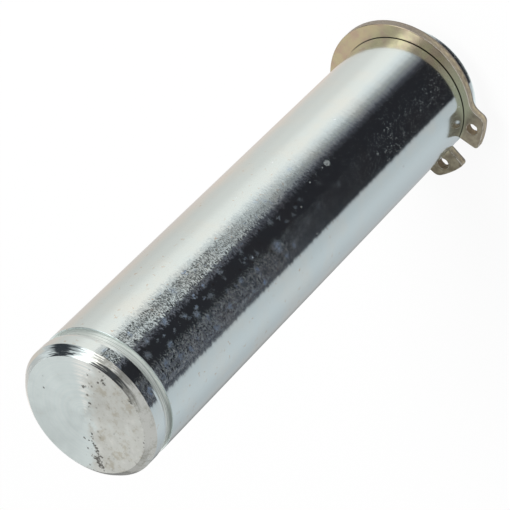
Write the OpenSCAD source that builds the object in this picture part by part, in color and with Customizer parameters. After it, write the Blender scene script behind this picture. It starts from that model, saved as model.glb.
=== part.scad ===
// Clevis pin held by an external retaining ring.
// The pin is turned from round bar, with a chamfered end, a collar and a ring
// groove at each end. One heavy-series retaining ring is sprung into the lower
// groove. The upper groove is empty.
// The pin stands on its lower end face. +Z runs up its axis, the origin is the
// centre of that face, and the gap between the lugs of the ring faces +X.

/* [Pin] */
// Diameter of the shank and of both end collars
pin_d = 30; // [26:0.5:36]
// Overall length of the pin
pin_l = 130; // [60:1:260]
// Radial width of the steep chamfer round each end face
chamfer_w = 1; // [0.5:0.05:2]
// Length of the steep chamfer along the axis
chamfer_l = 0.75; // [0.4:0.05:1.2]
// Radial width of the lead-in bevel behind the chamfer
lead_w = 0.7; // [0.3:0.05:1.2]
// Length of the lead-in bevel along the axis
lead_l = 0.95; // [0.5:0.05:1.6]

/* [Grooves] */
// Distance from each end face to the near wall of its groove
collar_l = 5.1; // [4.2:0.1:10]
// Depth of the grooves below the shank
groove_depth = 0.7; // [0.4:0.05:1.2]
// Axial room that a groove leaves beside its ring
ring_play = 0.15; // [0.05:0.05:0.5]
// Radius between the floor and the walls of a groove
root_r = 0.12; // [0.05:0.01:0.2]
// Length of the bevel on the collar's edge at the groove
collar_bevel_l = 0.75; // [0.2:0.05:1]
// Radial drop of the bevel on the collar's edge
collar_bevel_w = 0.2; // [0.05:0.05:0.35]
// Size of the edge break on the shank at the groove
shank_break = 0.12; // [0.05:0.01:0.25]

/* [Retaining ring] */
// Thickness of the ring
ring_t = 2; // [1.5:0.1:3]
// Radial room between the groove's floor and the ring
ring_fit = 0.02; // [0.01:0.01:0.1]
// Radial width of the ring opposite its gap, where it is widest
ring_wide = 4.2; // [3.4:0.1:5]
// Radial width that the ring's taper has shrunk to at the gap
ring_narrow = 2.05; // [1.6:0.05:2.6]
// Angle of the gap between the two lugs
gap_angle = 18; // [10:0.5:22]

/* [Lugs] */
// Height of the lugs from the inside of the ring
lug_h = 5.4; // [4.8:0.1:6.4]
// Width across both lugs
lugs_w = 21.2; // [19.4:0.1:22.6]
// Radius of the lugs' shoulders
shoulder_r = 1.8; // [0.4:0.1:2]
// Radius of the lugs' corners at the gap
gap_corner_r = 0.8; // [0.2:0.1:1]
// Radius of the hollow between a lug and the ring
lug_fillet_r = 3.75; // [2:0.25:5]
// Diameter of the plier holes
plier_d = 2.6; // [2:0.1:3]
// Distance between the centres of the plier holes
plier_pitch = 13.3; // [12:0.1:14.2]
// Distance from the inside of the ring to the centres of the plier holes
plier_in = 2.9; // [2.4:0.1:3.2]

/* [Hidden] */
$fn = 180;

// Pin and grooves
pin_r = pin_d / 2;
groove_r = pin_r - groove_depth;
groove_w = ring_t + ring_play;
shank_z = collar_l + groove_w;
lead_r = pin_r - lead_w;
face_r = lead_r - chamfer_w;

// Ring, in its own plane, with the gap on +X
ring_inner_r = groove_r + ring_fit;
ring_outer_r = ring_inner_r + (ring_wide + ring_narrow) / 2;
ring_shift = (ring_wide - ring_narrow) / 2;
gap_half = gap_angle / 2;

// The edges of the ring's bore are broken, so they clear the groove's fillets
bore_break = root_r;

// Lugs
lug_r = ring_inner_r + lug_h;
lug_side = lugs_w / 2;
plier_y = plier_pitch / 2;
plier_x = side_of(ring_inner_r + plier_in, plier_y);

// How far the cutting shapes reach past what they cut
reach = 2;

// How far a rounding runs past the arc that it joins, so that the two cross
seam = 0.005;

// Centres of the roundings of the lug on the +Y side
shoulder_y = lug_side - shoulder_r;
shoulder = [side_of(lug_r - shoulder_r + seam, shoulder_y), shoulder_y];
gap_corner_out = lug_r - gap_corner_r + seam;
gap_corner_turn = gap_half + asin((gap_corner_r - seam) / gap_corner_out);
gap_corner = gap_corner_out * heading(gap_corner_turn);
hollow_y = lug_side + lug_fillet_r;
hollow_out = ring_outer_r + lug_fillet_r - seam;
hollow = [side_of(hollow_out, hollow_y) - ring_shift, hollow_y];

// The remaining side of a right triangle
function side_of(hypotenuse, side) = sqrt(hypotenuse * hypotenuse - side * side);

// Unit vector at an angle from +X
function heading(angle) = [cos(angle), sin(angle)];

// Half section of one end as [radius, height], from the end face to the shank
end_section = [
    [0, 0],
    [face_r, 0],
    [lead_r, chamfer_l],
    [pin_r, chamfer_l + lead_l],
    [pin_r, collar_l - collar_bevel_l],
    [pin_r - collar_bevel_w, collar_l],
    [groove_r, collar_l],
    [groove_r, shank_z],
    [pin_r - shank_break, shank_z],
    [pin_r, shank_z + shank_break],
];

// The small fillet in one corner of a groove, at its floor
module root_fillet() {
    difference() {
        square(root_r);
        translate([root_r, root_r]) circle(root_r);
    }
}

// Both fillets of one groove, in the half section
module groove_roots() {
    translate([groove_r, collar_l]) root_fillet();
    translate([groove_r, shank_z]) mirror([0, 1]) root_fillet();
}

// Half section of the whole pin: the upper end is the lower end turned over
module pin_section() {
    upper_end = [for (i = [len(end_section) - 1 : -1 : 0]) [end_section[i].x, pin_l - end_section[i].y]];
    polygon(concat(end_section, upper_end));
    groove_roots();
    translate([0, pin_l]) mirror([0, 1]) groove_roots();
}

module pin() {
    color([0.80, 0.83, 0.84]) rotate_extrude() pin_section();
}

// What a rounding of radius r takes off an outer corner. The rounding touches
// the corner's two sides in the directions side_a and side_b from its centre.
module corner_waste(centre, r, side_a, side_b) {
    span = side_b - side_a;
    difference() {
        polygon([
            centre,
            centre + (r + reach) * heading(side_a),
            centre + (r + reach) / cos(span / 2) * heading(side_a + span / 2),
            centre + (r + reach) * heading(side_b),
        ]);
        translate(centre) circle(r);
    }
}

// The lug on the +Y side of the gap, blended into the ring by a hollow. It
// starts at the ring's centre, so the ring's bore and the gap still cut it.
module lug() {
    shoulder_turn = atan2(shoulder.y, shoulder.x);
    ring_centre = [-ring_shift, 0];
    hollow_touch = ring_centre + ring_outer_r / hollow_out * (hollow - ring_centre);
    difference() {
        intersection() {
            circle(lug_r);
            polygon([
                [0, 0],
                [lug_r + reach, 0],
                [lug_r + reach, lug_side],
                [hollow.x, lug_side],
                hollow,
                hollow_touch,
            ]);
        }
        translate(hollow) circle(lug_fillet_r);
        corner_waste(shoulder, shoulder_r, shoulder_turn, 90);
        corner_waste(gap_corner, gap_corner_r, gap_half - 90, gap_corner_turn);
    }
}

// The opening between the lugs, with sides that point at the ring's centre
module gap() {
    far = lug_r + reach;
    polygon([[0, 0], far * [1, -tan(gap_half)], far * [1, tan(gap_half)]]);
}

module plier_hole() {
    translate([plier_x, plier_y]) circle(d = plier_d);
}

// Outline of the ring: its outer circle is shifted away from the gap, so its
// width tapers towards the lugs
module ring_outline() {
    difference() {
        union() {
            translate([-ring_shift, 0]) circle(ring_outer_r);
            for (side = [0, 1]) mirror([0, side]) lug();
        }
        circle(ring_inner_r);
        gap();
        for (side = [0, 1]) mirror([0, side]) plier_hole();
    }
}

// What the edge break takes off the bore at the ring's lower face
module bore_edge() {
    cylinder(h = bore_break, r1 = ring_inner_r + bore_break, r2 = ring_inner_r);
}

// The ring lies on the outer wall of its groove
module retaining_ring() {
    color([0.72, 0.66, 0.42]) translate([0, 0, collar_l]) difference() {
        linear_extrude(ring_t) ring_outline();
        bore_edge();
        translate([0, 0, ring_t]) mirror([0, 0, 1]) bore_edge();
    }
}

pin();
retaining_ring();
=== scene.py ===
"""A steel clevis pin that stands on its end, with a retaining ring sprung into its lower groove."""

import math
from functools import partialmethod
from types import SimpleNamespace

import bpy
import numpy as np
from bpy.props import FloatProperty, FloatVectorProperty, PointerProperty
from mathutils import Matrix, Vector
from mathutils.geometry import delaunay_2d_cdt


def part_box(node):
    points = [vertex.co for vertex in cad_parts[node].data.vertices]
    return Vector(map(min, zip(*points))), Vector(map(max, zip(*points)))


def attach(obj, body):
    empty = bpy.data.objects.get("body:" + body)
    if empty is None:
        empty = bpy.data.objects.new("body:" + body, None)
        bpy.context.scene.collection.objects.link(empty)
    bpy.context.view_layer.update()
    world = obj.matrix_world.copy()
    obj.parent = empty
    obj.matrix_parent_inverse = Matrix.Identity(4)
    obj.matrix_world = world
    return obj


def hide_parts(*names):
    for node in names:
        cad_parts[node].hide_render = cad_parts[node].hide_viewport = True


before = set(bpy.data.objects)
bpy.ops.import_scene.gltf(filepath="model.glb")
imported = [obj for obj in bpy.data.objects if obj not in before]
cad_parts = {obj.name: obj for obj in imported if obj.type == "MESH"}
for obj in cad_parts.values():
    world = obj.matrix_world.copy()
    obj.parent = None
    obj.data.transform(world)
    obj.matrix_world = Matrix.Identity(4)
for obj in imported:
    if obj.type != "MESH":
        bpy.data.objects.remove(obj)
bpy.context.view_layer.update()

bl_info = {
    "name": "Clevis Pin",
    "version": (1, 0, 0),
    "blender": (4, 5, 0),
    "location": "View3D > Sidebar > Clevis Pin",
    "description": "Adds a zinc-plated clevis pin, its retaining ring and a studio",
    "category": "Add Mesh",
}

MM = 0.001
PIN_LOW, PIN_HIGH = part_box("pin")
RING_LOW, RING_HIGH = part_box("retaining_ring")
PIN_RADIUS = PIN_HIGH.x
PIN_LENGTH = PIN_HIGH.z - PIN_LOW.z


# ---- Sizes and colours ----------------------------------------------------

def length(name, description, millimetres):
    """A length, given in millimetres and kept in metres."""
    return FloatProperty(
        name=name, description=description, default=millimetres * MM, min=0, precision=5,
        subtype="DISTANCE", unit="LENGTH",
    )


def angle(name, description, degrees):
    """An angle, given in degrees."""
    return FloatProperty(
        name=name, description=description, default=math.radians(degrees), subtype="ANGLE", unit="ROTATION"
    )


def share(name, description, default):
    """A plain number from 0 to 1."""
    return FloatProperty(
        name=name, description=description, default=default, min=0, max=1, subtype="FACTOR"
    )


def colour(name, description, default):
    """A linear colour."""
    return FloatVectorProperty(
        name=name, description=description, default=default, min=0, max=1, size=3, subtype="COLOR"
    )


class PinSettings(bpy.types.PropertyGroup):
    """Sizes and finish of the turned pin."""

    chamfer_width: length("Chamfer Width", "Radial width of the steep chamfer round each end face", 1.0)
    chamfer_length: length("Chamfer Length", "Length of the steep chamfer along the axis", 0.75)
    lead_width: length("Lead-in Width", "Radial width of the lead-in bevel behind the chamfer", 0.7)
    lead_length: length("Lead-in Length", "Length of the lead-in bevel along the axis", 0.95)
    collar_length: length("Collar Length", "Distance from an end face to the near wall of its groove", 5.1)
    collar_bevel_length: length("Collar Bevel Length", "Length of the bevel on the collar's edge", 0.75)
    collar_bevel_width: length("Collar Bevel Width", "Radial drop of the bevel on the collar's edge", 0.2)
    groove_width: length("Groove Width", "Width of each ring groove along the axis", 2.15)
    groove_depth: length("Groove Depth", "Depth of the ring grooves below the shank", 0.7)
    root_radius: length("Root Radius", "Radius between the floor and the walls of a groove", 0.12)
    edge_round: length("Edge Rounding", "Radius that the plating leaves on each turned edge", 0.06)
    zinc: colour("Zinc", "Colour of the clear zinc plating", (0.79, 0.885, 0.89))
    zinc_thick: colour("Thick Zinc", "Warmer colour where the plating is thicker", (0.83, 0.885, 0.86))
    face_blue: colour("Face, Bluish", "Colour of the cleaner side of the end face", (0.66, 0.73, 0.72))
    face_warm: colour("Face, Warm", "Colour of the stained side of the end face", (0.63, 0.64, 0.60))
    polish: share("Roughness", "Roughness of the ground shank", 0.12)
    grain: share("Grain", "Roughness that the short dashes add to the shank", 0.02)
    dash_tilt: share("Dash Tilt", "How far the short dashes tip the shank's surface sideways", 0.046)
    streak_tilt: share("Streak Tilt", "How far the long streaks tip the shank's surface sideways", 0.10)


class RingSettings(bpy.types.PropertyGroup):
    """Sizes and finish of the stamped retaining ring."""

    inner_radius: length("Inner Radius", "Inside radius of the ring", 14.32)
    wide: length("Widest", "Radial width opposite the gap", 4.2)
    narrow: length("Narrowest", "Radial width that the taper has shrunk to at the gap", 2.05)
    gap: angle("Gap", "Angle of the gap between the lugs", 18)
    lug_height: length("Lug Height", "Height of the lugs from the inside of the ring", 5.4)
    lugs_width: length("Lugs Width", "Width across both lugs", 21.2)
    shoulder_radius: length("Shoulder Radius", "Radius of the lugs' shoulders", 1.8)
    corner_radius: length("Corner Radius", "Radius of the lugs' corners at the gap", 0.8)
    hollow_radius: length("Hollow Radius", "Radius of the hollow between a lug and the ring", 3.75)
    bore_corner: length("Bore Corner", "Radius of the corners where the gap meets the bore", 0.25)
    hole_radius: length("Plier Hole Radius", "Radius of the plier holes", 1.3)
    hole_pitch: length("Plier Hole Pitch", "Distance between the centres of the plier holes", 13.3)
    hole_height: length("Plier Hole Height", "Height of the holes above the ring's inside", 2.9)
    edge_round: length("Edge Rounding", "Radius of the stamped edges", 0.22)
    gold: colour("Yellow Zinc", "Colour of the yellow zinc plating", (0.53, 0.45, 0.285))
    pink: colour("Pinkish", "Colour where the yellow plating is thin", (0.50, 0.38, 0.275))
    olive: colour("Olive", "Colour near the gap, where the plating is thick", (0.56, 0.54, 0.39))
    # A brown darkened with painted shade; it colours the lugs only
    shaded_lug_brown: colour("Brown", "Colour of the lugs and of the sheared edge", (0.20, 0.168, 0.125))


class StageSettings(bpy.types.PropertyGroup):
    """The studio: floor, light and camera."""

    lens: FloatProperty(
        name="Lens", description="Focal length in millimetres", default=200.07, min=50, max=400
    )
    floor_size: length("Floor Size", "Side of the square floor", 6000)
    floor_white: share("Floor White", "Brightness of the floor", 0.92)


# ---- Surfaces -------------------------------------------------------------

def heading(turn):
    """Unit vector at an angle from +X."""
    return np.array([math.cos(turn), math.sin(turn)])


def rounded_profile(corners, radii, steps=4):
    """A chain of straight stretches with each inner corner replaced by an arc that touches both its sides.

    The arc's centre lies on the corner's bisector, at radius / sin(half the corner's angle) from it. The
    normals are the stretches' own right-hand normals, turned evenly along each arc.
    """
    corners = np.asarray(corners, float)
    points, normals = [corners[:1]], []
    for before, corner, after, radius in zip(corners, corners[1:], corners[2:], radii):
        into = (corner - before) / np.linalg.norm(corner - before)
        out = (after - corner) / np.linalg.norm(after - corner)
        turn = math.atan2(into[0] * out[1] - into[1] * out[0], into @ out)
        reach = radius * abs(math.tan(turn / 2))
        side = math.copysign(1, turn)
        first = np.array([into[1], -into[0]])
        centre = corner - into * reach - side * first * radius
        start = math.atan2(first[1], first[0])
        t = start + np.linspace(0, turn, steps + 1)[:, None]
        facing = np.hstack([np.cos(t), np.sin(t)])
        points.append(centre + side * radius * facing)
        normals += [first[None], facing] if not normals else [facing]
    last = (corners[-1] - corners[-2]) / np.linalg.norm(corners[-1] - corners[-2])
    points.append(corners[-1:])
    normals.append(np.array([[last[1], -last[0]]]))
    return np.vstack(points), np.vstack(normals)


def subdivide(points, normals, spacings):
    """Adds points at even steps along each stretch of a profile, about its spacing apart."""
    counts = np.maximum(1, np.round(np.linalg.norm(np.diff(points, axis=0), axis=1) / spacings)).astype(int)
    steps = [start + np.arange(count) / count for start, count in enumerate(counts)]
    t = np.concatenate([*steps, [len(counts)]])
    places = np.arange(len(points))

    def along(values):
        return np.stack([np.interp(t, places, column) for column in values.T], axis=1)

    return along(points), along(normals)


def circle(count):
    """Points (cos a, sin a) with a in even steps over the whole circle."""
    a = np.linspace(0, 2 * math.pi, count, endpoint=False)
    return np.stack([np.cos(a), np.sin(a)], axis=1)


def lifted(flat, heights):
    """Rows of flat points, with each row moved to its own height."""
    return np.dstack([flat, np.repeat(heights[:, None], flat.shape[1], axis=1)])


def band(first, count, rows):
    """Quads between the rows of a closed wall whose vertices are numbered row by row from first."""
    row, column = np.meshgrid(np.arange(rows - 1), np.arange(count), indexing="ij")
    here = first + row * count + column
    there = first + row * count + (column + 1) % count
    return np.stack([here, there, there + count, here + count], axis=-1).reshape(-1, 4).tolist()


def turned_surface(points, normals, segments):
    """A profile of (radius, height) turned about Z: (r cos a, r sin a, z) with a over the whole circle.

    The first and last points lie on the axis, and each becomes one pole.
    """
    wheel = circle(segments)

    def turn(pairs):
        return lifted(pairs[:, None, :1] * wheel, pairs[:, 1]).reshape(-1, 3)

    rim_points, rim_normals = turn(points[1:-1]), turn(normals[1:-1])
    poles = np.array([[0, 0, points[0, 1]], [0, 0, points[-1, 1]]])
    pole_normals = np.array([[0, 0, -1.0], [0, 0, 1.0]])
    vertices = np.vstack([rim_points, poles])
    vertex_normals = np.vstack([rim_normals, pole_normals])

    here = np.arange(segments)
    there = np.roll(here, -1)
    top_row = (len(points) - 3) * segments
    low_pole, high_pole = len(rim_points), len(rim_points) + 1
    bottom = np.stack([there, here, np.full(segments, low_pole)], axis=1)
    top = np.stack([top_row + here, top_row + there, np.full(segments, high_pole)], axis=1)
    faces = band(0, segments, len(points) - 2) + bottom.tolist() + top.tolist()
    return vertices, vertex_normals, faces


def place_object(name, data):
    """An object of its own for a mesh, lamp or camera, in the scene."""
    piece = bpy.data.objects.new(name, data)
    bpy.context.scene.collection.objects.link(piece)
    return piece


def place_mesh(name, vertices, faces):
    """A mesh object at the origin."""
    mesh = bpy.data.meshes.new(name)
    mesh.from_pydata(vertices, [], faces)
    return place_object(name, mesh)


def smooth_mesh(name, vertices, faces, normals):
    """A smooth mesh object at the origin, with its exact normals."""
    piece = place_mesh(name, vertices.tolist(), faces)
    mesh = piece.data
    mesh.polygons.foreach_set("use_smooth", np.ones(len(mesh.polygons), bool))
    mesh.update()
    mesh.normals_split_custom_set_from_vertices(normals.tolist())
    return piece


# ---- Shader helpers -------------------------------------------------------

class Nodes:
    """Adds shader nodes to a tree and links them. Values may be sockets, numbers or tuples."""

    def __init__(self, tree):
        self.tree = tree
        self.tree.nodes.clear()

    def add(self, kind, **settings):
        node = self.tree.nodes.new(kind)
        for key, value in settings.items():
            setattr(node, key, value)
        return node

    def put(self, socket, value):
        """Links or sets an input. One number fills a whole vector, and a colour gets its alpha."""
        if isinstance(value, bpy.types.NodeSocket):
            self.tree.links.new(value, socket)
            return
        size = len(socket.default_value) if hasattr(socket.default_value, "__len__") else 0
        if size and not hasattr(value, "__len__"):
            value = [value] * size
        elif size == 4 and len(value) == 3:
            value = (*value, 1)
        socket.default_value = value

    def feed(self, node, values):
        """Puts values into a node's inputs, in their order or by their names or numbers."""
        for key, value in values.items() if isinstance(values, dict) else enumerate(values):
            self.put(node.inputs[key], value)
        return node

    def math(self, operation, *values):
        return self.feed(self.add("ShaderNodeMath", operation=operation), values).outputs[0]

    def fold(self, operation, first, *others):
        """Joins any number of values, one after another, with an operation on two values."""
        for value in others:
            first = self.math(operation, first, value)
        return first

    def vector(self, operation, *values):
        node = self.feed(self.add("ShaderNodeVectorMath", operation=operation), values)
        return node.outputs["Value" if operation in ("LENGTH", "DISTANCE") else "Vector"]

    # The product, the sum and the largest of any number of values
    times = partialmethod(fold, "MULTIPLY")
    plus = partialmethod(fold, "ADD")
    most = partialmethod(fold, "MAXIMUM")

    minus = partialmethod(math, "SUBTRACT")
    unsigned = partialmethod(math, "ABSOLUTE")
    scaled = partialmethod(vector, "MULTIPLY")

    def parts(self, vector):
        return tuple(self.feed(self.add("ShaderNodeSeparateXYZ"), (vector,)).outputs)

    def join(self, x, y, z):
        return self.feed(self.add("ShaderNodeCombineXYZ"), (x, y, z)).outputs[0]

    def away(self, x, y):
        """Distance from the Z axis."""
        return self.vector("LENGTH", self.join(x, y, 0))

    def azimuth(self, x, y):
        """Angle from +X in degrees."""
        return self.math("DEGREES", self.math("ARCTAN2", y, x))

    def apart(self, turn, middle):
        """How far an angle in degrees lies from another, the short way round."""
        return self.unsigned(self.math("WRAP", self.minus(turn, middle), 180, -180))

    def span(self, value, low, high, to_low=0, to_high=1, smooth=True):
        """value from low to high, mapped to to_low to to_high and held there outside."""
        node = self.add("ShaderNodeMapRange", interpolation_type="SMOOTHSTEP" if smooth else "LINEAR")
        ends = {"Value": value, "From Min": low, "From Max": high, "To Min": to_low, "To Max": to_high}
        return self.feed(node, ends).outputs[0]

    def noise(self, place, density=1, detail=2, roughness=0.5, seed=0):
        """Soft noise from 0 to 1. Each seed gives a pattern of its own."""
        node = self.add("ShaderNodeTexNoise", noise_dimensions="4D")
        place = self.scaled(place, density)
        values = {"Vector": place, "W": seed, "Scale": 1, "Detail": detail, "Roughness": roughness}
        return self.feed(node, values).outputs["Fac"]

    def colour_noise(self, place, density):
        """Noise with three separate channels, to bend other patterns with."""
        values = {"Vector": self.scaled(place, density), "Scale": 1}
        return self.feed(self.add("ShaderNodeTexNoise"), values).outputs["Color"]

    def cells(self, place, density):
        """Distance to the nearest scattered point, and that point's own three random numbers."""
        values = {"Vector": self.scaled(place, density), "Scale": 1}
        node = self.feed(self.add("ShaderNodeTexVoronoi"), values)
        return node.outputs["Distance"], self.parts(node.outputs["Color"])

    def specks(self, place, density, reaches, core, picks):
        """Scattered round specks, at most one to a cell, and a random number for each.

        A speck is full within core and gone at its reach, which is random between the two reaches. It
        shows as its cell's random number passes from the first to the second of picks.
        """
        near, (pick, size, kind) = self.cells(place, density)
        reach = self.span(size, 0, 1, *reaches)
        return self.times(self.span(near, reach, core), self.span(pick, *picks)), kind

    def ramp(self, factor, stops):
        """A smooth colour ramp through (position, colour) stops."""
        node = self.add("ShaderNodeValToRGB")
        node.color_ramp.interpolation = "EASE"
        elements = node.color_ramp.elements
        while len(elements) < len(stops):
            elements.new(1)
        for element, (position, shade) in zip(elements, stops):
            element.position = position
            element.color = (*shade, 1)
        return self.feed(node, (factor,)).outputs[0]

    def blend(self, factor, first, second, blend_type="MIX"):
        """Turns the first colour into the second, or blends the two, as factor goes from 0 to 1."""
        node = self.add("ShaderNodeMix", data_type="RGBA", blend_type=blend_type, clamp_factor=True)
        return self.feed(node, {0: factor, 6: first, 7: second}).outputs[2]

    def number(self, factor, first, second):
        """Turns the first number into the second as factor goes from 0 to 1."""
        node = self.add("ShaderNodeMix", data_type="FLOAT")
        return self.feed(node, {0: factor, 2: first, 3: second}).outputs[0]

    def bump(self, height, depth, normal=None):
        """Bump whose height is in metres times depth."""
        node = self.feed(self.add("ShaderNodeBump"), {"Strength": 1, "Distance": depth, "Height": height})
        if normal is not None:
            self.put(node.inputs["Normal"], normal)
        return node.outputs[0]

    def millimetres(self):
        """Object coordinates in millimetres."""
        return self.scaled(self.add("ShaderNodeTexCoord").outputs["Object"], 1 / MM)

    def rise(self):
        """How upright the surface's normal is: 0 on a wall and 1 on a flat."""
        return self.unsigned(self.parts(self.add("ShaderNodeNewGeometry").outputs["Normal"])[2])

    def metal(self, colour, cover, roughness, normal):
        """A metal that is hidden, by as much as cover says, under a matt coat of the same colour."""
        values = {"Base Color": colour, "Metallic": self.minus(1, cover), "Roughness": roughness}
        return self.feed(self.add("ShaderNodeBsdfPrincipled"), {**values, "Normal": normal})

    def finish(self, shader, kind="ShaderNodeOutputMaterial"):
        """Gives the finished shader to the surface."""
        self.feed(self.add(kind), {"Surface": shader.outputs[0]})


def new_material(piece, name):
    """Gives a piece a new material, whose nodes are still to be added."""
    material = bpy.data.materials.new(name)
    material.use_nodes = True
    piece.data.materials.append(material)
    return Nodes(material.node_tree)


# ---- The pin --------------------------------------------------------------

# Segments round the pin, and the steps along its shank and its two end faces
PIN_SEGMENTS = 384
SHANK_STEP, TOP_FACE_STEP, LOW_FACE_STEP = 3 * MM, 0.2 * MM, 1.5 * MM

# A vertex this close to the top height lies on the upper end face
TOP_MARGIN = 0.01 * MM

# Pits of the upper end face: x, y and reach in millimetres, strength
FACE_PITS = (
    (-11.0, 0.2, 0.25, 0.5), (-9.5, -2.3, 0.3, 0.7),
    (-2.9, 12.6, 0.3, 0.7), (-1.8, 12.3, 0.3, 0.6), (-1.3, 12.1, 0.25, 0.6), (-1.5, 11.1, 0.4, 0.9),
    (-0.8, 10.8, 0.45, 1.0), (-1.8, 9.8, 0.35, 0.7), (-3.6, 6.0, 0.45, 0.9), (-2.8, 6.9, 0.3, 0.5),
    (-1.9, 6.6, 0.3, 0.4), (-0.7, 3.6, 0.4, 0.9), (-0.4, 2.7, 0.3, 0.7),
    (2.8, -2.7, 0.3, 0.6), (3.2, -2.9, 0.3, 0.7), (3.7, -3.4, 0.25, 0.5), (2.5, -5.4, 0.35, 0.8),
    (3.4, -4.9, 0.3, 0.7), (4.0, -4.5, 0.25, 0.6), (4.2, -7.0, 0.3, 0.6), (4.9, -6.3, 0.25, 0.4),
    (4.5, -4.8, 0.35, 0.8), (5.0, -5.0, 0.4, 0.9), (5.5, -5.2, 0.4, 1.0), (5.8, -6.0, 0.35, 0.8),
    (6.4, -6.2, 0.35, 0.7), (7.0, -6.3, 0.35, 0.9), (7.5, -6.2, 0.3, 0.8), (6.5, -7.7, 0.5, 0.9),
    (7.0, -7.4, 0.6, 1.0), (7.4, -7.7, 0.55, 1.0), (7.7, -8.1, 0.6, 1.0), (8.2, -8.3, 0.65, 1.0),
    (8.6, -8.3, 0.5, 0.9), (7.9, -7.2, 0.35, 0.6), (6.0, -5.5, 0.4, 0.8), (6.7, -6.9, 0.35, 0.7),
    (9.3, -8.8, 0.3, 0.5), (8.8, -6.6, 0.4, 0.4), (7.0, -3.9, 0.5, 0.3),
    (6.4, 1.6, 0.4, 0.4), (7.6, 1.3, 0.3, 0.3), (8.6, -5.1, 0.4, 0.4), (10.4, -7.0, 0.4, 0.4),
    (5.0, 12.2, 0.5, 1.0), (5.4, 12.0, 0.35, 0.9), (7.1, 11.2, 0.3, 0.6), (8.6, 10.0, 0.25, 0.4),
    (9.7, 8.9, 0.25, 0.4), (10.5, 8.1, 0.25, 0.5), (11.2, 7.2, 0.25, 0.5), (11.7, 6.4, 0.25, 0.5),
    (11.9, 5.7, 0.3, 0.7), (12.4, 4.6, 0.3, 0.6),
)

# Larger flakes of thick plating on the shank: angle from +X in degrees, height and size in millimetres,
# strength. A flake is gone at FLAKE_EDGE and full at FLAKE_CORE times its size from its middle.
SHANK_FLAKES = (
    (64.9, 111.9, 0.65, 0.9), (67.0, 109.3, 0.45, 0.6), (91.8, 118.9, 0.6, 0.6),
    (73.0, 77.9, 1.5, 0.75), (90.0, 93.8, 0.7, 0.55), (80.6, 85.3, 0.7, 0.45), (90.2, 75.1, 0.8, 0.4),
    (87.5, 72.6, 0.6, 0.45), (81.1, 69.1, 0.5, 0.5), (79.6, 105.6, 0.9, 0.8), (72.3, 103.9, 0.8, 0.7),
    (92.4, 112.5, 0.8, 0.8), (76.4, 95.8, 0.6, 0.5), (60.3, 86.1, 0.7, 0.9), (74.8, 91.2, 0.8, 0.6),
    (84.0, 121.2, 0.9, 0.7), (78.5, 115.4, 0.9, 0.8), (70.3, 119.0, 0.8, 0.8), (86.1, 108.2, 0.7, 0.7),
    (82.6, 99.8, 0.8, 0.6), (66.4, 97.5, 0.8, 0.8), (61.8, 103.1, 0.5, 0.8), (88.6, 86.3, 0.6, 0.5),
)
FLAKE_EDGE, FLAKE_CORE = 1.4, 0.1

# A pale chip in the plating: angle from +X in degrees and height in millimetres
CHIP = (91.5, 52.3)

# Short dashes to a millimetre, round the shank and along it
DASH_DENSITY = (2.6, 2.6, 7.2)

# Direction across the end face to its stained side, and where along it the stains start and are full
STAINED_WAY = (0.863, 0.505)
STAINED_EDGE = (-1.4, 3.6)

# How far the scores tip the bevels' surface sideways, and the depth of the turning marks
SCORE_TILT, TURNING_DEPTH = 0.42, 0.003 * MM

# Colours of the marks and of the worked surfaces
# The fan colour is a painted highlight on the end face's turning rings
FAN_HIGHLIGHT = (0.95, 0.93, 0.88)
FACE_STAIN_DARK, FACE_STAIN_LIGHT = (0.46, 0.43, 0.35), (0.74, 0.74, 0.70)
BEVEL_STAIN_DARK, BEVEL_STAIN_LIGHT = (0.62, 0.60, 0.52), (0.88, 0.87, 0.81)
# The grooves' third colour is painted shade
GROOVE_DARK, GROOVE_LIGHT, GROOVE_SHADE = (0.50, 0.55, 0.52), (0.88, 0.92, 0.88), (0.38, 0.42, 0.40)
FLAKE_BLUE, SPECK_TAN, DOT_GREY = (0.30, 0.50, 0.86), (0.68, 0.53, 0.39), (0.34, 0.32, 0.30)
GRIT_DARK, PIT_DARK = (0.13, 0.12, 0.10), (0.06, 0.055, 0.045)


def end_corners(settings):
    """Corners of one end's section, from the middle of its end face to the shank."""
    lead_radius = PIN_RADIUS - settings.lead_width
    face_radius = lead_radius - settings.chamfer_width
    groove_radius = PIN_RADIUS - settings.groove_depth
    shank_start = settings.collar_length + settings.groove_width
    return np.array([
        (0, 0),
        (face_radius, 0),
        (lead_radius, settings.chamfer_length),
        (PIN_RADIUS, settings.chamfer_length + settings.lead_length),
        (PIN_RADIUS, settings.collar_length - settings.collar_bevel_length),
        (PIN_RADIUS - settings.collar_bevel_width, settings.collar_length),
        (groove_radius, settings.collar_length),
        (groove_radius, shank_start),
        (PIN_RADIUS, shank_start),
    ])


def pin_profile(settings):
    """The whole section of the pin, from the middle of its lower end to the middle of its upper end."""
    low = end_corners(settings)
    high = low[::-1] * (1, -1) + (0, PIN_LENGTH)
    edge, root = settings.edge_round, settings.root_radius
    radii = [edge, edge, edge, edge, edge, root, root, 2 * edge]
    points, normals = rounded_profile(np.vstack([low, high]), radii + radii[::-1])
    spacings = np.full(len(points) - 1, SHANK_STEP)
    spacings[0], spacings[-1] = LOW_FACE_STEP, TOP_FACE_STEP
    return subdivide(points, normals, spacings)


def scattered_marks(places, marks):
    """How strongly each place is marked: the largest of strength * exp(-(distance / reach) ** 2)."""
    found = np.zeros(len(places))
    for x, y, reach, strength in marks:
        away = np.linalg.norm(places - (x * MM, y * MM), axis=1)
        found = np.maximum(found, strength * np.exp(-((away / (reach * MM)) ** 2)))
    return found


def store(piece, name, values):
    """Keeps one number for each vertex, for the piece's material to read."""
    attribute = piece.data.attributes.new(name, "FLOAT", "POINT")
    attribute.data.foreach_set("value", np.asarray(values, np.float32))


def on_shank(turn, height):
    """The point of the shank's surface at an angle from +X in degrees and a height, in millimetres."""
    return (*(heading(math.radians(turn)) * PIN_RADIUS / MM).tolist(), height)


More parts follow.
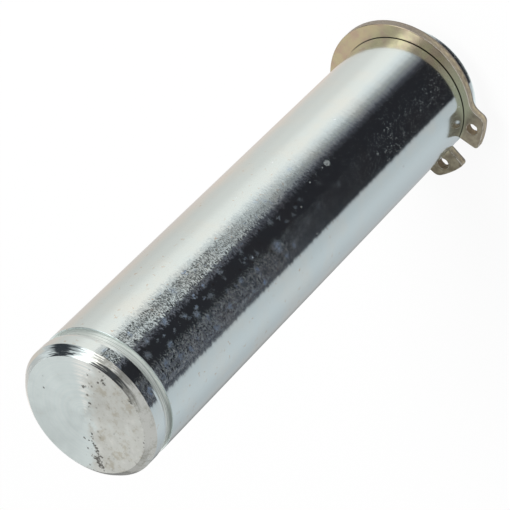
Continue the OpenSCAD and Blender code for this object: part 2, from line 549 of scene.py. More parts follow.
def make_pin(settings):
    """The pin: its profile turned about Z, with the strength of the end face's pits kept on it."""
    points, normals = pin_profile(settings)
    vertices, vertex_normals, faces = turned_surface(points, normals, PIN_SEGMENTS)
    piece = smooth_mesh("turned_pin", vertices, faces, vertex_normals)
    on_top = vertices[:, 2] > PIN_LENGTH - TOP_MARGIN
    store(piece, "pitting", np.where(on_top, scattered_marks(vertices[:, :2], FACE_PITS), 0))
    add_zinc(piece, settings)
    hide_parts("pin")
    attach(piece, "root")


def pin_zones(n):
    """Coordinates of a point of the pin, in millimetres and degrees, and masks of the pin's zones.

    face is a flat end, bevel the chamfer with the lead-in, groove a ring groove, and side the shank and the
    collars. warm grows across the end face towards its stained side, and ragged is that side with an
    uneven edge.
    """
    at = SimpleNamespace(place=n.millimetres())
    at.x, at.y, at.z = n.parts(at.place)
    at.radius = n.away(at.x, at.y)
    at.around = n.azimuth(at.x, at.y)
    shank, high = PIN_RADIUS / MM, PIN_LENGTH / MM
    from_end = n.math("MINIMUM", at.z, n.minus(high, at.z))
    at.face = n.times(n.span(n.rise(), 0.9, 0.99), n.span(from_end, 0.3, 0.1))
    at.groove = n.times(n.span(at.radius, shank - 0.15, shank - 0.35), n.span(from_end, 4.4, 4.6))
    at.bevel = n.times(n.span(from_end, 1.9, 1.7), n.minus(1, at.face))
    at.side = n.minus(1, n.most(at.face, at.bevel, at.groove))

    along_x, along_y = STAINED_WAY
    at.warm = n.span(n.plus(n.times(at.x, along_x), n.times(at.y, along_y)), *STAINED_EDGE, smooth=False)
    at.stains = n.noise(at.place, 0.35, detail=4, roughness=0.6, seed=6)
    uneven = n.span(n.plus(at.warm, n.times(at.stains, 2)), 1.2, 1.9)
    at.ragged = n.times(n.span(at.z, high - 2.2, high - 1.9), uneven)

    at.crumbs = n.noise(at.place, 2.4, detail=2, seed=8)
    at.patches = n.noise(at.place, 0.42, detail=6, roughness=0.75, seed=15)
    at.lines = n.noise(n.join(n.times(at.z, 5), n.times(at.x, 0.08), n.times(at.y, 0.08)), seed=9)
    return at


def zinc_marks(n, at):
    """Masks of the marks on the pin."""
    marks = SimpleNamespace()
    patchy = n.noise(at.place, (0.07, 0.07, 0.035), detail=2, seed=4)

    # Short dashes run round the shank and grow towards the upper end, and some of them are scuffed matt
    _, (marks.dash, scuff, _) = n.cells(at.place, DASH_DENSITY)
    marks.coarse = n.times(
        n.span(at.z, 22, 92, 0.35, 1), n.span(patchy, 0.25, 0.6, 0.55, 1),
        n.span(n.apart(at.around, 91), 34, 27, 0.15, 1),
    )
    marks.scuff = n.times(
        n.span(scuff, 0.5, 1), n.span(n.apart(at.around, 67), 13, 7), at.side,
        n.span(at.z, 45, 108, 0.1, 1),
    )

    # Flakes of thick plating, seen as bluish clouds where the metal mirrors the dark
    wobble = n.vector("SUBTRACT", n.colour_noise(at.place, 1.5), (0.5, 0.5, 0.5))
    bent = n.vector("ADD", at.place, n.scaled(wobble, 1.7))
    flake, _ = n.specks(bent, 0.42, (0.2, 0.5), 0, (0.2, 0.6))
    flake = n.times(flake, n.span(at.z, 30, 95))
    for turn, height, size, strength in SHANK_FLAKES:
        away = n.vector("DISTANCE", bent, on_shank(turn, height))
        flake = n.most(flake, n.span(away, size * FLAKE_EDGE, size * FLAKE_CORE, 0, strength))
    flake = n.times(flake, n.span(n.apart(at.around, 84), 28, 24), at.side)
    marks.flake = n.times(flake, n.span(at.crumbs, 0.35, 0.65, 0.45, 1))

    # Small dots, fine dust towards the ring, tan specks towards the upper end, and one larger chip
    marks.dot, kind = n.specks(at.place, 0.36, (0.06, 0.12), 0.04, (0.66, 0.7))
    marks.dark_dot = n.times(marks.dot, n.span(kind, 0.6, 0.7))
    dust, _ = n.specks(at.place, (2.5, 2.5, 1.9), (0.22, 0.42), 0.16, (0.35, 0.85))
    marks.dust = n.times(
        dust, at.side, n.span(patchy, 0.36, 0.56, 0.35, 1),
        n.span(n.apart(at.around, 66), 26, 8, 0.25, 1), n.span(at.z, 66, 36, 0.05, 1),
    )
    tan, _ = n.specks(bent, (0.62, 0.62, 0.5), (0.13, 0.28), 0.08, (0.2, 0.6))
    marks.tan = n.times(tan, at.side, n.span(at.z, 40, 80))
    oval = (1, 1, 0.8)
    away = n.vector("DISTANCE", n.scaled(at.place, oval), n.scaled(on_shank(*CHIP), oval))
    marks.chip = n.times(n.span(away, 0.8, 0.55), n.span(at.crumbs, 0.35, 0.6, 0.14, 0.26))

    # Grit on the stained side of the end face, and the listed pits with crumbling edges
    grit, _ = n.specks(at.place, 1, (0.18, 0.38), 0.14, (0.26, 0.38))
    marks.grit = n.times(
        grit, at.face, n.span(at.warm, 0.15, 0.45), n.span(at.warm, 1, 0.6, 0.25, 1),
        n.span(at.patches, 0.38, 0.54, 0.3, 0.9),
    )
    pitting = n.add("ShaderNodeAttribute", attribute_name="pitting").outputs["Fac"]
    marks.pits = n.span(n.times(pitting, n.span(at.crumbs, 0.36, 0.56, 0.35, 1.25)), 0.26, 0.62)
    return marks


def face_colour(n, at, settings):
    """Colour of the end face: two sides, stains, and turning rings lightened in a fan by a painted
    highlight.
    """
    tone = n.blend(at.ragged, settings.face_blue, settings.face_warm)
    # Painted highlight: the turning rings are lightened in a fan round 119 degrees
    painted_fan = n.times(n.span(n.apart(at.around, 119), 17, 3), n.span(at.radius, 1, 12, 0.5, 1))
    rings = n.noise(n.join(n.times(at.radius, 1.6), 0, 0), detail=4, roughness=0.8, seed=16)
    painted_fan = n.times(n.plus(painted_fan, 0.12), n.span(rings, 0.42, 0.58), n.minus(1, at.ragged))
    tone = n.blend(painted_fan, tone, FAN_HIGHLIGHT)
    tone = n.blend(n.times(at.ragged, n.span(at.patches, 0.50, 0.64, 0, 0.72)), tone, FACE_STAIN_DARK)
    return n.blend(n.times(at.ragged, n.span(at.patches, 0.48, 0.34, 0, 0.65)), tone, FACE_STAIN_LIGHT)


def groove_colour(n, at):
    """Colour of the grooves: fine light and dark turning lines, and a stretch darkened by painted shade."""
    tone = n.blend(n.span(at.lines, 0.38, 0.62), GROOVE_DARK, GROOVE_LIGHT)
    # Painted shade over a stretch of the grooves round 146 degrees
    return n.blend(n.span(n.apart(at.around, 146), 30, 10, 0, 0.7), tone, GROOVE_SHADE)


def zinc_colour(n, at, marks, settings):
    """Colour of the pin, zone by zone, with the marks laid over it."""
    blotch = n.noise(at.place, 0.12, detail=3, seed=7)
    tone = n.blend(n.span(blotch, 0.4, 0.7), settings.zinc, settings.zinc_thick)
    stain = n.blend(n.span(at.patches, 0.46, 0.62), BEVEL_STAIN_LIGHT, BEVEL_STAIN_DARK)
    tone = n.blend(n.times(at.bevel, at.ragged, 0.8), tone, stain)
    tone = n.blend(at.face, tone, face_colour(n, at, settings))
    tone = n.blend(at.groove, tone, groove_colour(n, at))
    tone = n.blend(n.times(marks.flake, 0.9), tone, FLAKE_BLUE)
    tone = n.blend(n.times(marks.tan, 0.55), tone, SPECK_TAN)
    tone = n.blend(n.times(marks.dark_dot, 0.5), tone, DOT_GREY)
    tone = n.blend(marks.grit, tone, GRIT_DARK)
    return n.blend(n.times(marks.pits, 0.85), tone, PIT_DARK)


def zinc_roughness(n, at, marks, settings):
    """Roughness: low on the shank and the bevels, higher in the grooves and on the faces."""
    dashes = n.times(n.span(marks.dash, 0.5, 0.9), marks.coarse, at.side)
    rough = n.plus(settings.polish, n.times(dashes, settings.grain), n.times(marks.flake, 0.15))
    rough = n.number(at.bevel, rough, 0.10)
    rough = n.number(at.groove, rough, n.span(at.lines, 0.35, 0.65, 0.5, 0.36))
    rough = n.number(at.face, rough, n.span(at.stains, 0.3, 0.7, 0.36, 0.48))
    return n.number(marks.pits, rough, 0.7)


def zinc_normal(n, at, marks, settings):
    """Normal of the pin's surface.

    Dashes and streaks on the shank and scores on the bevels tip it a little to either side round the pin.
    Turning marks, pits and the small nib in the middle of an end face are bumps.
    """
    streaks = n.noise(at.place, (0.1, 0.1, 2.2), detail=3, roughness=0.6, seed=2)
    tip = n.times(n.span(marks.dash, 0, 1, -1, 1), marks.coarse, settings.dash_tilt)
    tip = n.plus(tip, n.times(n.minus(streaks, 0.5), settings.streak_tilt))
    scores = n.join(n.times(at.z, 6), n.times(at.x, 0.3), n.times(at.y, 0.3))
    scored = n.times(n.minus(n.noise(scores, detail=2, seed=17), 0.5), at.bevel, SCORE_TILT)
    tip = n.plus(n.times(tip, at.side), scored)
    round_pin = n.vector("NORMALIZE", n.join(n.times(at.y, -1), at.x, 0))
    normal = n.add("ShaderNodeNewGeometry").outputs["Normal"]
    tipped = n.vector("NORMALIZE", n.vector("ADD", normal, n.scaled(round_pin, n.join(tip, tip, 0))))

    rings = n.join(n.times(at.radius, 4), n.times(at.z, 4), n.times(at.x, 0.05))
    turned = n.noise(rings, detail=3, roughness=0.7, seed=3)
    depth = n.times(turned, n.plus(n.number(at.face, 0.35, 1.4), n.times(at.bevel, 1.2)))
    nib = n.span(n.unsigned(n.minus(at.radius, 1.5)), 0.5, 0)
    depth = n.plus(depth, n.times(marks.pits, -12), n.times(nib, at.face, 16))
    return n.bump(depth, TURNING_DEPTH, tipped)


def add_zinc(piece, settings):
    """Clear zinc over ground and turned steel.

    The shank keeps a smooth ground, with long faint grinding streaks and, towards the upper end, short
    rough dashes that run round it. The end faces and bevels keep turning marks. Sparse flakes of thick
    plating, small specks and the pits of the end face lie over all, and metal shows less through them.
    """
    n = new_material(piece, "clear_zinc")
    at = pin_zones(n)
    marks = zinc_marks(n, at)
    cover = n.most(
        n.times(marks.flake, 0.29), n.times(marks.dust, 0.34), n.times(marks.scuff, 0.21), marks.chip,
        n.times(marks.dot, at.side, 0.42), n.times(marks.pits, 0.6), n.times(at.groove, 0.55),
        n.times(at.face, 0.12),
    )
    shader = n.metal(
        zinc_colour(n, at, marks, settings), cover,
        zinc_roughness(n, at, marks, settings), zinc_normal(n, at, marks, settings),
    )

    # Grinding and turning marks run round the axis, so the metal blurs mostly across them
    shader.inputs["Anisotropic"].default_value = 0.75
    shader.inputs["Anisotropic Rotation"].default_value = 0.25
    tangent = n.add("ShaderNodeTangent", direction_type="RADIAL", axis="Z")
    n.put(shader.inputs["Tangent"], tangent.outputs[0])
    n.finish(shader)


# ---- The retaining ring ---------------------------------------------------

# Steps along the outline's arcs, and steps across each rounded edge
ARC_STEP, LEAST_ARC_STEPS = math.radians(2), 8
EDGE_STEPS = 4

# Points closer than this are one point to the fill of the flat faces
FILL_TOLERANCE = 1e-7

# Depth of the plating's fine pebbles, and colours of its marks and of the sheared edge
PEBBLE_DEPTH = 0.008 * MM
# The pale edge colour is a painted highlight, and the seam colour a painted shadow
MOTTLE_DULL, EDGE_HIGHLIGHT, SEAM_SHADOW = (0.40, 0.36, 0.26), (0.82, 0.79, 0.72), (0.05, 0.045, 0.035)
# The burnished edge colour is partly a painted highlight, and the foot and back colours are painted shade
EDGE_BURNISHED_HIGHLIGHT, EDGE_TORN, EDGE_FOOT_SHADE = (0.62, 0.53, 0.35), (0.48, 0.41, 0.30), (0.20, 0.17, 0.165)
EDGE_TEAR, EDGE_BACK_SHADE, HOLE_BROWN = (0.27, 0.22, 0.17), (0.20, 0.17, 0.14), (0.30, 0.22, 0.13)

# Painted shade: the lug on the -Y side is this much darker
LOWER_LUG_PAINTED_SHADE = (0.62, 0.62, 0.57)


def path_arc(centre, radius, start, end):
    """Points of an arc: centre + radius * (cos t, sin t), with t from start to end.

    The steps are about ARC_STEP each, and there are at least LEAST_ARC_STEPS of them.
    """
    t = np.linspace(start, end, max(LEAST_ARC_STEPS, int(abs(end - start) / ARC_STEP)) + 1)
    return np.asarray(centre) + radius * np.stack([np.cos(t), np.sin(t)], axis=1)


def far_side(long_side, side):
    """The remaining side of a right triangle."""
    return math.sqrt(long_side * long_side - side * side)


def ring_outline(s):
    """The ring's closed outline, with the metal on its left: round the outside, then back along the bore.

    The outer circle is shifted away from the gap, so the ring tapers towards the lugs. The outside of
    the +Y half runs from the bore along the gap, round the lug, through the hollow and round to -X. The
    other half is its mirror image.
    """
    half_gap = s.gap / 2
    gap_side = half_gap - math.pi / 2
    outer_radius = s.inner_radius + (s.wide + s.narrow) / 2
    shift = (s.wide - s.narrow) / 2
    lug_radius = s.inner_radius + s.lug_height
    lug_side = s.lugs_width / 2

    bore_out = s.inner_radius + s.bore_corner
    bore_turn = half_gap + math.asin(s.bore_corner / bore_out)
    corner_out = lug_radius - s.corner_radius
    corner_turn = half_gap + math.asin(s.corner_radius / corner_out)
    shoulder_y = lug_side - s.shoulder_radius
    shoulder = np.array([far_side(lug_radius - s.shoulder_radius, shoulder_y), shoulder_y])
    shoulder_turn = math.atan2(shoulder[1], shoulder[0])
    hollow_y = lug_side + s.hollow_radius
    hollow = np.array([far_side(outer_radius + s.hollow_radius, hollow_y) - shift, hollow_y])
    ring_centre = np.array([-shift, 0])
    touch = math.atan2(*(hollow - ring_centre)[::-1])

    half = np.vstack([
        path_arc(bore_out * heading(bore_turn), s.bore_corner, bore_turn + math.pi, gap_side + 2 * math.pi),
        path_arc(corner_out * heading(corner_turn), s.corner_radius, gap_side, corner_turn),
        path_arc((0, 0), lug_radius, corner_turn, shoulder_turn)[1:-1],
        path_arc(shoulder, s.shoulder_radius, shoulder_turn, math.pi / 2),
        path_arc(hollow, s.hollow_radius, -math.pi / 2, touch - math.pi),
        path_arc(ring_centre, outer_radius, touch, math.pi)[1:],
    ])
    mirrored = half[-2::-1] * (1, -1)
    bore = path_arc((0, 0), s.inner_radius, -bore_turn, bore_turn - 2 * math.pi)[1:-1]
    return np.vstack([half, mirrored, bore])


def hole_outline(s, side):
    """One plier hole, run clockwise so that the metal lies on its left."""
    hole_y = side * s.hole_pitch / 2
    centre = (far_side(s.inner_radius + s.hole_height, hole_y), hole_y)
    return path_arc(centre, s.hole_radius, 0, -2 * math.pi)[:-1]


def outward(path):
    """For each point of a closed path: the mitre that moves both its edges out by one, and its normal."""
    edges = np.roll(path, -1, axis=0) - path
    edges /= np.linalg.norm(edges, axis=1, keepdims=True)
    right = np.stack([edges[:, 1], -edges[:, 0]], axis=1)
    before = np.roll(right, 1, axis=0)
    both = right + before
    mitre = both / (1 + np.sum(right * before, axis=1, keepdims=True))
    return mitre, both / np.linalg.norm(both, axis=1, keepdims=True)


def plate_wall(path, low, high, edge):
    """The side of a plate: a section with two rounded edges, carried along a closed path.

    Each section point is (inset, height). It is moved inwards from the path by its inset, and its
    normal leans from straight down, through the path's own normal, to straight up.
    """
    t = np.linspace(-math.pi / 2, 0, EDGE_STEPS + 1)
    below = np.stack([edge * (1 - np.cos(t)), low + edge + edge * np.sin(t)], axis=1)
    above = below[::-1] * (1, -1) + (0, low + high)
    lean = np.concatenate([t, -t[::-1]])
    section = np.vstack([below, above])
    mitre, facing = outward(path)
    points = lifted(path - section[:, None, :1] * mitre, section[:, 1])
    return points, lifted(np.cos(lean)[:, None, None] * facing, np.sin(lean))


def flat_triangles(paths, holes):
    """Triangles that fill the first path but for the holes, as numbers into the paths' joined points.

    Each hole is a centre and a radius. A triangle whose middle lies in a hole is left out.
    """
    counts = [len(path) for path in paths]
    starts = np.cumsum([0] + counts[:-1])
    loops = [np.stack([np.arange(count), (np.arange(count) + 1) % count], axis=1) for count in counts]
    edges = np.vstack([start + loop for start, loop in zip(starts, loops)])
    flat = np.vstack(paths)
    filled = delaunay_2d_cdt(flat.tolist(), edges.tolist(), [], 1, FILL_TOLERANCE)
    triangles = np.concatenate(filled[3])[np.array(filled[2])]
    middles = flat[triangles].mean(axis=1)
    away = [np.linalg.norm(middles - centre, axis=1) > radius for centre, radius in holes]
    return triangles[np.all(away, axis=0)]


def make_ring(settings):
    """The ring: a rounded wall along its outline and each hole, and two flat faces between them."""
    paths = [ring_outline(settings), hole_outline(settings, 1), hole_outline(settings, -1)]
    points, normals, faces, rims = [], [], [], []
    first = 0
    for path in paths:
        wall, wall_normals = plate_wall(path, RING_LOW.z, RING_HIGH.z, settings.edge_round)
        rows, count = wall.shape[:2]
        points.append(wall.reshape(-1, 3))
        normals.append(wall_normals.reshape(-1, 3))
        faces += band(first, count, rows)
        rims.append((first + np.arange(count), first + (rows - 1) * count + np.arange(count)))
        first += rows * count
    points, normals = np.vstack(points), np.vstack(normals)
    lower = np.concatenate([rim[0] for rim in rims])
    upper = np.concatenate([rim[1] for rim in rims])
    edges = [points[rim[1], :2] for rim in rims]
    holes = [(path.mean(axis=0), settings.hole_radius) for path in paths[1:]]
    triangles = flat_triangles(edges, holes)
    faces += upper[triangles].tolist() + lower[triangles[:, ::-1]].tolist()
    piece = smooth_mesh("stamped_ring", points, faces, normals)
    add_yellow_zinc(piece, settings)
    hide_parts("retaining_ring")
    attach(piece, "root")


def sheared_edge_colour(n, x, from_low, torn):
    """Colour of the ring's outer wall: torn above, and burnished below with a band that is partly a painted
    highlight, with painted shade at its foot and towards -X.
    """
    # The burnished band is partly a painted highlight
    tone = n.blend(n.span(from_low, 0.95, 1.25), EDGE_BURNISHED_HIGHLIGHT, EDGE_TORN)
    # Painted shade at the foot of the wall
    tone = n.blend(n.span(from_low, 0.75, 0.15), tone, EDGE_FOOT_SHADE)
    tone = n.blend(n.span(torn, 0.45, 0.62), tone, EDGE_TEAR)
    # Painted shade on the wall towards -X
    return n.blend(n.span(x, 2, -9, 0, 0.9), tone, EDGE_BACK_SHADE)


def add_yellow_zinc(piece, settings):
    """Yellow zinc over stamped spring steel.

    The plating turns from tan to olive round the ring, and to a brown on the lugs that is darkened with
    painted shade, the -Y lug most. The upper part of the sheared edge is torn and rough, and the lower part
    is burnished, with a painted highlight on that band and painted shade at its foot and towards -X. The
    rounded edges carry a ragged painted highlight, and a painted shadow darkens the seam between ring and
    pin.
    """
    n = new_material(piece, "yellow_zinc")
    place = n.millimetres()
    x, y, z = n.parts(place)
    radius = n.away(x, y)
    from_low = n.minus(z, RING_LOW.z / MM)
    rise = n.rise()
    wall = n.span(rise, 0.7, 0.2)
    rounded = n.times(n.span(rise, 0.15, 0.5), n.span(rise, 0.99, 0.85))
    outside = n.span(radius, 15, 15.6)
    outer_wall = n.times(wall, outside)
    lugs = n.times(n.span(x, 12, 14.5), n.span(radius, 14.4, 16))
    hole_radius, hole_y = settings.hole_radius / MM, settings.hole_pitch / 2
    hole_x = far_side(settings.inner_radius + settings.hole_height, hole_y)
    to_hole = n.away(n.minus(x, hole_x / MM), n.minus(n.unsigned(y), hole_y / MM))
    in_hole = n.span(to_hole, hole_radius + 0.15, hole_radius - 0.05)

    film = n.noise(place, 0.28, detail=3, seed=11)
    mottle = n.noise(place, 0.8, detail=3, seed=12)
    pebbles = n.noise(place, 4, seed=13)
    torn = n.noise(place, (1.1, 1.1, 3), detail=4, roughness=0.7, seed=14)

    # Colour
    towards_gap = n.math("MULTIPLY_ADD", film, 8, n.minus(x, 4))
    tone = n.blend(n.span(film, 0.42, 0.60), settings.gold, settings.pink)
    tone = n.blend(n.span(towards_gap, -1, 9), tone, settings.olive)
    # Painted shade: the lugs are darkened to a brown, the -Y lug more
    lug_shade_tone = n.blend(n.span(y, 0, -5), settings.shaded_lug_brown, n.scaled(settings.shaded_lug_brown, LOWER_LUG_PAINTED_SHADE))
    tone = n.blend(n.times(lugs, n.span(mottle, 0.35, 0.65, 0.95, 0.75)), tone, lug_shade_tone)
    tone = n.blend(n.span(mottle, 0.45, 0.75, 0, 0.2), tone, MOTTLE_DULL)
    tone = n.blend(outer_wall, tone, sheared_edge_colour(n, x, from_low, torn))
    # A ragged painted highlight along the upper rounded outer edge, fading towards -X
    edge_highlight = n.times(rounded, outside, n.span(torn, 0.42, 0.51))
    edge_highlight = n.times(edge_highlight, n.span(from_low, 1, 1.4), n.span(x, -9, 0, 0.25, 1))
    tone = n.blend(n.times(edge_highlight, 0.85), tone, EDGE_HIGHLIGHT)
    # Painted shadow in the seam where the ring meets the pin
    seam_shadow = n.times(n.span(radius, 15.22, 15.06), n.span(from_low, 1.8, 1.95))
    tone = n.blend(n.times(seam_shadow, 0.9), tone, SEAM_SHADOW)
    tone = n.blend(in_hole, tone, HOLE_BROWN)

    # Metal shows less in the holes, on the sheared edge and on the lugs
    cover = n.most(n.times(in_hole, 0.7), n.times(outer_wall, 0.8), n.times(lugs, 0.25))
    cover = n.most(cover, n.span(mottle, 0.4, 0.7, 0.03, 0.12))
    rough = n.span(mottle, 0.35, 0.7, 0.17, 0.27)
    rough = n.number(outer_wall, rough, n.span(torn, 0.3, 0.6, 0.30, 0.5))
    rough = n.number(in_hole, rough, 0.6)
    depth = n.plus(n.times(pebbles, 0.5), n.times(mottle, 0.8), n.times(torn, wall, 5))
    n.finish(n.metal(tone, cover, rough, n.bump(depth, PEBBLE_DEPTH)))


# ---- The studio -----------------------------------------------------------

# The camera: its place, its forward and up directions, and the width of its sensor in millimetres
CAMERA_PLACE = Vector((34.19, 422.41, 457.46)) * MM
CAMERA_FORWARD = Vector((-0.05733, -0.73625, -0.67427))
CAMERA_UP = Vector((-0.66716, 0.53069, -0.52275))
SENSOR_WIDTH = 36

# The soft lamp: its place and size in metres, and its power in watts
KEY_LAMP = {"place": (-0.45, 0.30, 0.75), "size": 0.5, "power": 6}

# How much of the floor the camera and mirrors see as plain white
FLOOR_GLOW = 0.92

# The reflection board lies just above the floor, from close under the ring to far out
BOARD_STEPS = 96
BOARD_INNER, BOARD_OUTER, BOARD_HEIGHT = 16.45 * MM, 3.0, 0.1 * MM

# Brightness of the board by azimuth round its centre, in degrees: nearer than CLOSE_REACH and farther than
# FAR_REACH, in millimetres. The azimuths start at -BOARD_SEAM.
CLOSE_BOARD = (
    (-50, 0.50), (-10, 0.60), (18, 0.52), (23, 0.47), (26, 0.02), (99, 0.02), (107, 0.055), (115, 0.20),
    (123, 0.36), (131, 0.64), (139, 0.81), (147, 0.89), (158, 0.87), (180, 0.72), (205, 0.66), (238, 0.66),
    (250, 0.74), (259, 0.97), (264, 0.82), (269, 0.55), (275, 0.33), (283, 0.26), (290, 0.33), (298, 0.44),
    (310, 0.50),
)
FAR_BOARD = (
    (-50, 0.485), (-10, 0.61), (18, 0.56), (23, 0.51), (26, 0.07), (56, 0.058), (64, 0.022), (97, 0.022),
    (108, 0.17), (114, 0.46), (120, 0.30), (132, 0.31), (147, 0.90), (160, 0.86), (185, 0.68), (208, 0.61),
    (238, 0.60), (250, 0.68), (259, 0.95), (264, 0.80), (269, 0.50), (275, 0.30), (283, 0.24), (290, 0.33),
    (298, 0.45), (310, 0.485),
)
CLOSE_REACH, FAR_REACH = 60, 125
BOARD_SEAM = 50

# The board's centre in millimetres, and the tint of its dark stretches
BOARD_CENTRE = (0.67, 8.3)
DARK_TINT = (0.95, 0.94, 1.12)

# Degrees from one slat of the board to the next
SLAT_STEP = 11

# Tints of the board by azimuth: middle, where the tint is gone, where it is full, and the tint
TINTS = (
    (350, 52, 34, (0.97, 1.0, 1.035)),
    (191, 58, 38, (1.05, 1.0, 0.95)),
    (240, 38, 14, (1.08, 1.0, 0.96)),
)

# A painted shadow on the board below a plier hole, where the ring would shade the floor: its place, its
# inner and outer reach in millimetres, and how much of its light is left
HOLE_SHADOW = (21.2, 1.3)
HOLE_SHADOW_REACH = (2.2, 3.6)
HOLE_SHADOW_SHADE = 0.12

# Boards round the pin above the floor: azimuth at 30 degrees up, its change per degree up, and elevation;
# half width and half height, each with the softness of its edges; and brightness. Each one stands in front
# of the ones before it.
BOARDS = (
    (-55, 0.0, 10, (20, 20), (30, 20), 0.43),
    (240, 0.0, 46, (62, 20), (26, 20), 0.88),
    (75, 0.0, 74, (42, 50), (18, 16), 0.22),
    (110, 0.0, 74, (34, 12), (18, 16), 0.055),
    (86, 0.0, 34, (14, 16), (10, 14), 0.27),
    (105, 0.0, 33, (4, 4), (8, 6), 0.66),
    (147, 0.42, 25, (14, 5), (34, 8), 1.30),
    (156, 0.0, 47, (16, 22), (10, 12), 1.90),
    (191, 0.40, 17, (18, 14), (26, 4), 0.045),
)

# Boards darker than this are a little bluish
DARK_BOARD, DARK_BOARD_TINT = 0.1, (0.90, 0.97, 1.12)

# Colour of the sky behind the boards
SKY = (0.53, 0.535, 0.54)


def board_ramp(n, turn, stops):
    """Brightness by azimuth."""
    around = n.math("DIVIDE", n.math("WRAP", n.plus(turn, BOARD_SEAM), 360, 0), 360)
    return n.ramp(around, [((degrees + BOARD_SEAM) / 360, (shade,) * 3) for degrees, shade in stops])


def make_floor(settings):
    """A square white floor that shows as plain white but keeps the pin's shadow."""
    side = settings.floor_size / 2
    corners = [(-side, -side, 0), (side, -side, 0), (side, side, 0), (-side, side, 0)]
    floor = place_mesh("studio_floor", corners, [(0, 1, 2, 3)])
    n = new_material(floor, "white_floor")
    matte = n.add("ShaderNodeBsdfDiffuse")
    n.put(matte.inputs["Color"], settings.floor_white)
    path = n.add("ShaderNodeLightPath").outputs
    seen = n.most(path["Is Camera Ray"], path["Is Glossy Ray"], path["Is Transmission Ray"])
    both = (n.times(seen, FLOOR_GLOW), matte.outputs[0], n.add("ShaderNodeEmission").outputs[0])
    n.finish(n.feed(n.add("ShaderNodeMixShader"), both))


def board_shade(n):
    """Colour of the reflection board: brightness by azimuth, tints, slats and a painted shadow below a
    plier hole.
    """
    x, y, _ = n.parts(n.millimetres())
    spot_x, spot_y = HOLE_SHADOW
    to_hole_shadow = n.away(n.minus(x, spot_x), n.minus(y, spot_y))
    x, y = n.minus(x, BOARD_CENTRE[0]), n.minus(y, BOARD_CENTRE[1])
    turn = n.azimuth(x, y)
    far = n.span(n.away(x, y), CLOSE_REACH, FAR_REACH)
    shade = n.blend(far, board_ramp(n, turn, CLOSE_BOARD), board_ramp(n, turn, FAR_BOARD))
    level = n.parts(shade)[0]

    # Light and dark slats lie where the far board is dim but not black
    slats = n.span(n.math("SINE", n.times(turn, math.radians(360 / SLAT_STEP))), -0.7, 0.7, -1, 1)
    dim = n.times(n.span(level, 0.35, 0.6, 1, 0), n.span(level, 0.028, 0.055))
    dim = n.times(dim, n.span(n.apart(turn, 88), 59, 53))
    slats = n.math("MULTIPLY_ADD", slats, n.times(dim, far, 0.95), 1)
    # Painted shadow on the board below a plier hole
    slats = n.times(slats, n.span(to_hole_shadow, *HOLE_SHADOW_REACH, HOLE_SHADOW_SHADE, 1))

    shade = n.blend(n.span(level, 0.3, 0.05), shade, DARK_TINT, "MULTIPLY")
    for middle, gone, full, tint in TINTS:
        shade = n.blend(n.span(n.apart(turn, middle), gone, full), shade, tint, "MULTIPLY")
    return n.scaled(shade, n.join(slats, slats, slats))


def make_reflection_board():
    """A round board on the floor that only mirrors in the metal."""
    rims = np.array([BOARD_OUTER, BOARD_INNER])[:, None, None] * circle(BOARD_STEPS)
    points = lifted(rims, np.full(2, BOARD_HEIGHT)).reshape(-1, 3)
    board = place_mesh("reflection_board", points.tolist(), band(0, BOARD_STEPS, 2))
    n = new_material(board, "painted_board")
    shine = n.add("ShaderNodeEmission")
    n.put(shine.inputs["Color"], board_shade(n))
    n.finish(shine)
    board.visible_camera = False
    board.visible_diffuse = False
    board.visible_shadow = False


def make_world():
    """Soft boards in front of a grey sky. The camera sees plain white instead."""
    world = bpy.data.worlds.new("studio")
    bpy.context.scene.world = world
    world.use_nodes = True
    n = Nodes(world.node_tree)
    x, y, z = n.parts(n.add("ShaderNodeTexCoord").outputs["Generated"])
    turn = n.azimuth(x, y)
    up = n.math("DEGREES", n.math("ARCSINE", z))
    seen = SKY
    for middle, slant, rise, (half_width, side_soft), (half_height, end_soft), shade in BOARDS:
        at = n.math("MULTIPLY_ADD", n.minus(up, 30), slant, middle)
        wide = n.span(n.apart(turn, at), half_width - side_soft / 2, half_width + side_soft / 2, 1, 0)
        off = n.unsigned(n.minus(up, rise))
        tall = n.span(off, half_height - end_soft / 2, half_height + end_soft / 2, 1, 0)
        tint = DARK_BOARD_TINT if shade < DARK_BOARD else (1, 1, 1)
        seen = n.blend(n.times(wide, tall), seen, tuple(shade * part for part in tint))
    camera_ray = n.add("ShaderNodeLightPath").outputs["Is Camera Ray"]
    background = n.add("ShaderNodeBackground")
    n.put(background.inputs["Color"], n.blend(camera_ray, seen, (1, 1, 1)))
    n.finish(background, "ShaderNodeOutputWorld")


def make_lamp(name, place, size, power):
    """A square area lamp that faces the middle of the pin."""
    data = bpy.data.lights.new(name, "AREA")
    data.size = size
    data.energy = power
    lamp = place_object(name, data)
    lamp.location = place
    aim = Vector((0, 0, PIN_LENGTH / 2)) - Vector(place)
    lamp.rotation_euler = aim.to_track_quat("-Z", "Y").to_euler()
    lamp.visible_camera = False
    lamp.visible_glossy = False


def make_camera(settings):
    """The camera, looking forward from its place, with its up direction squared to that."""
    data = bpy.data.cameras.new("camera")
    data.sensor_width = SENSOR_WIDTH
    data.lens = settings.lens
    data.clip_start, data.clip_end = 0.01, 20
    camera = place_object("camera", data)
    back = -CAMERA_FORWARD.normalized()
    right = CAMERA_UP.cross(back).normalized()
    up = back.cross(right)
    camera.matrix_world = Matrix.Translation(CAMERA_PLACE) @ Matrix((right, up, back)).transposed().to_4x4()
    bpy.context.scene.camera = camera


# ---- Operators and panel --------------------------------------------------

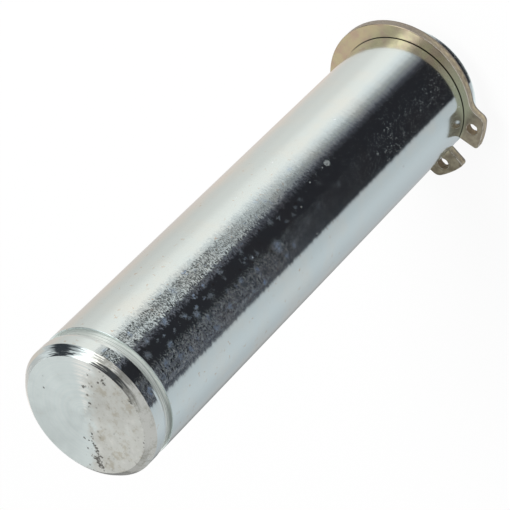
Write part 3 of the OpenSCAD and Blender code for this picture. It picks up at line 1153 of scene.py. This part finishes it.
class CLEVISPIN_OT_add_pin(bpy.types.Operator):
    """Add the turned and zinc-plated pin"""

    bl_idname = "clevispin.add_pin"
    bl_label = "Add Pin"

    def execute(self, context):
        make_pin(context.scene.clevis_pin)
        return {"FINISHED"}


class CLEVISPIN_OT_add_ring(bpy.types.Operator):
    """Add the retaining ring in the lower groove"""

    bl_idname = "clevispin.add_ring"
    bl_label = "Add Retaining Ring"

    def execute(self, context):
        make_ring(context.scene.clevis_ring)
        return {"FINISHED"}


class CLEVISPIN_OT_add_stage(bpy.types.Operator):
    """Add the floor, the reflection board, the light and the camera"""

    bl_idname = "clevispin.add_stage"
    bl_label = "Add Studio"

    def execute(self, context):
        settings = context.scene.clevis_stage
        context.scene.view_settings.view_transform = "Standard"
        make_floor(settings)
        make_reflection_board()
        make_world()
        make_lamp("key_lamp", **KEY_LAMP)
        make_camera(settings)
        return {"FINISHED"}


class CLEVISPIN_PT_panel(bpy.types.Panel):
    """The steps in the sidebar"""

    bl_label = "Clevis Pin"
    bl_idname = "CLEVISPIN_PT_panel"
    bl_space_type = "VIEW_3D"
    bl_region_type = "UI"
    bl_category = "Clevis Pin"

    def draw(self, context):
        for operator in OPERATORS:
            self.layout.operator(operator.bl_idname)


OPERATORS = (CLEVISPIN_OT_add_pin, CLEVISPIN_OT_add_ring, CLEVISPIN_OT_add_stage)
SETTINGS = {"clevis_pin": PinSettings, "clevis_ring": RingSettings, "clevis_stage": StageSettings}


def register():
    for made in (*SETTINGS.values(), *OPERATORS, CLEVISPIN_PT_panel):
        bpy.utils.register_class(made)
    for name, group in SETTINGS.items():
        setattr(bpy.types.Scene, name, PointerProperty(type=group))


def unregister():
    for name in SETTINGS:
        delattr(bpy.types.Scene, name)
    for made in reversed((*SETTINGS.values(), *OPERATORS, CLEVISPIN_PT_panel)):
        bpy.utils.unregister_class(made)


def main():
    register()
    bpy.ops.clevispin.add_pin()
    bpy.ops.clevispin.add_ring()
    bpy.ops.clevispin.add_stage()


if __name__ == "__main__":
    main()
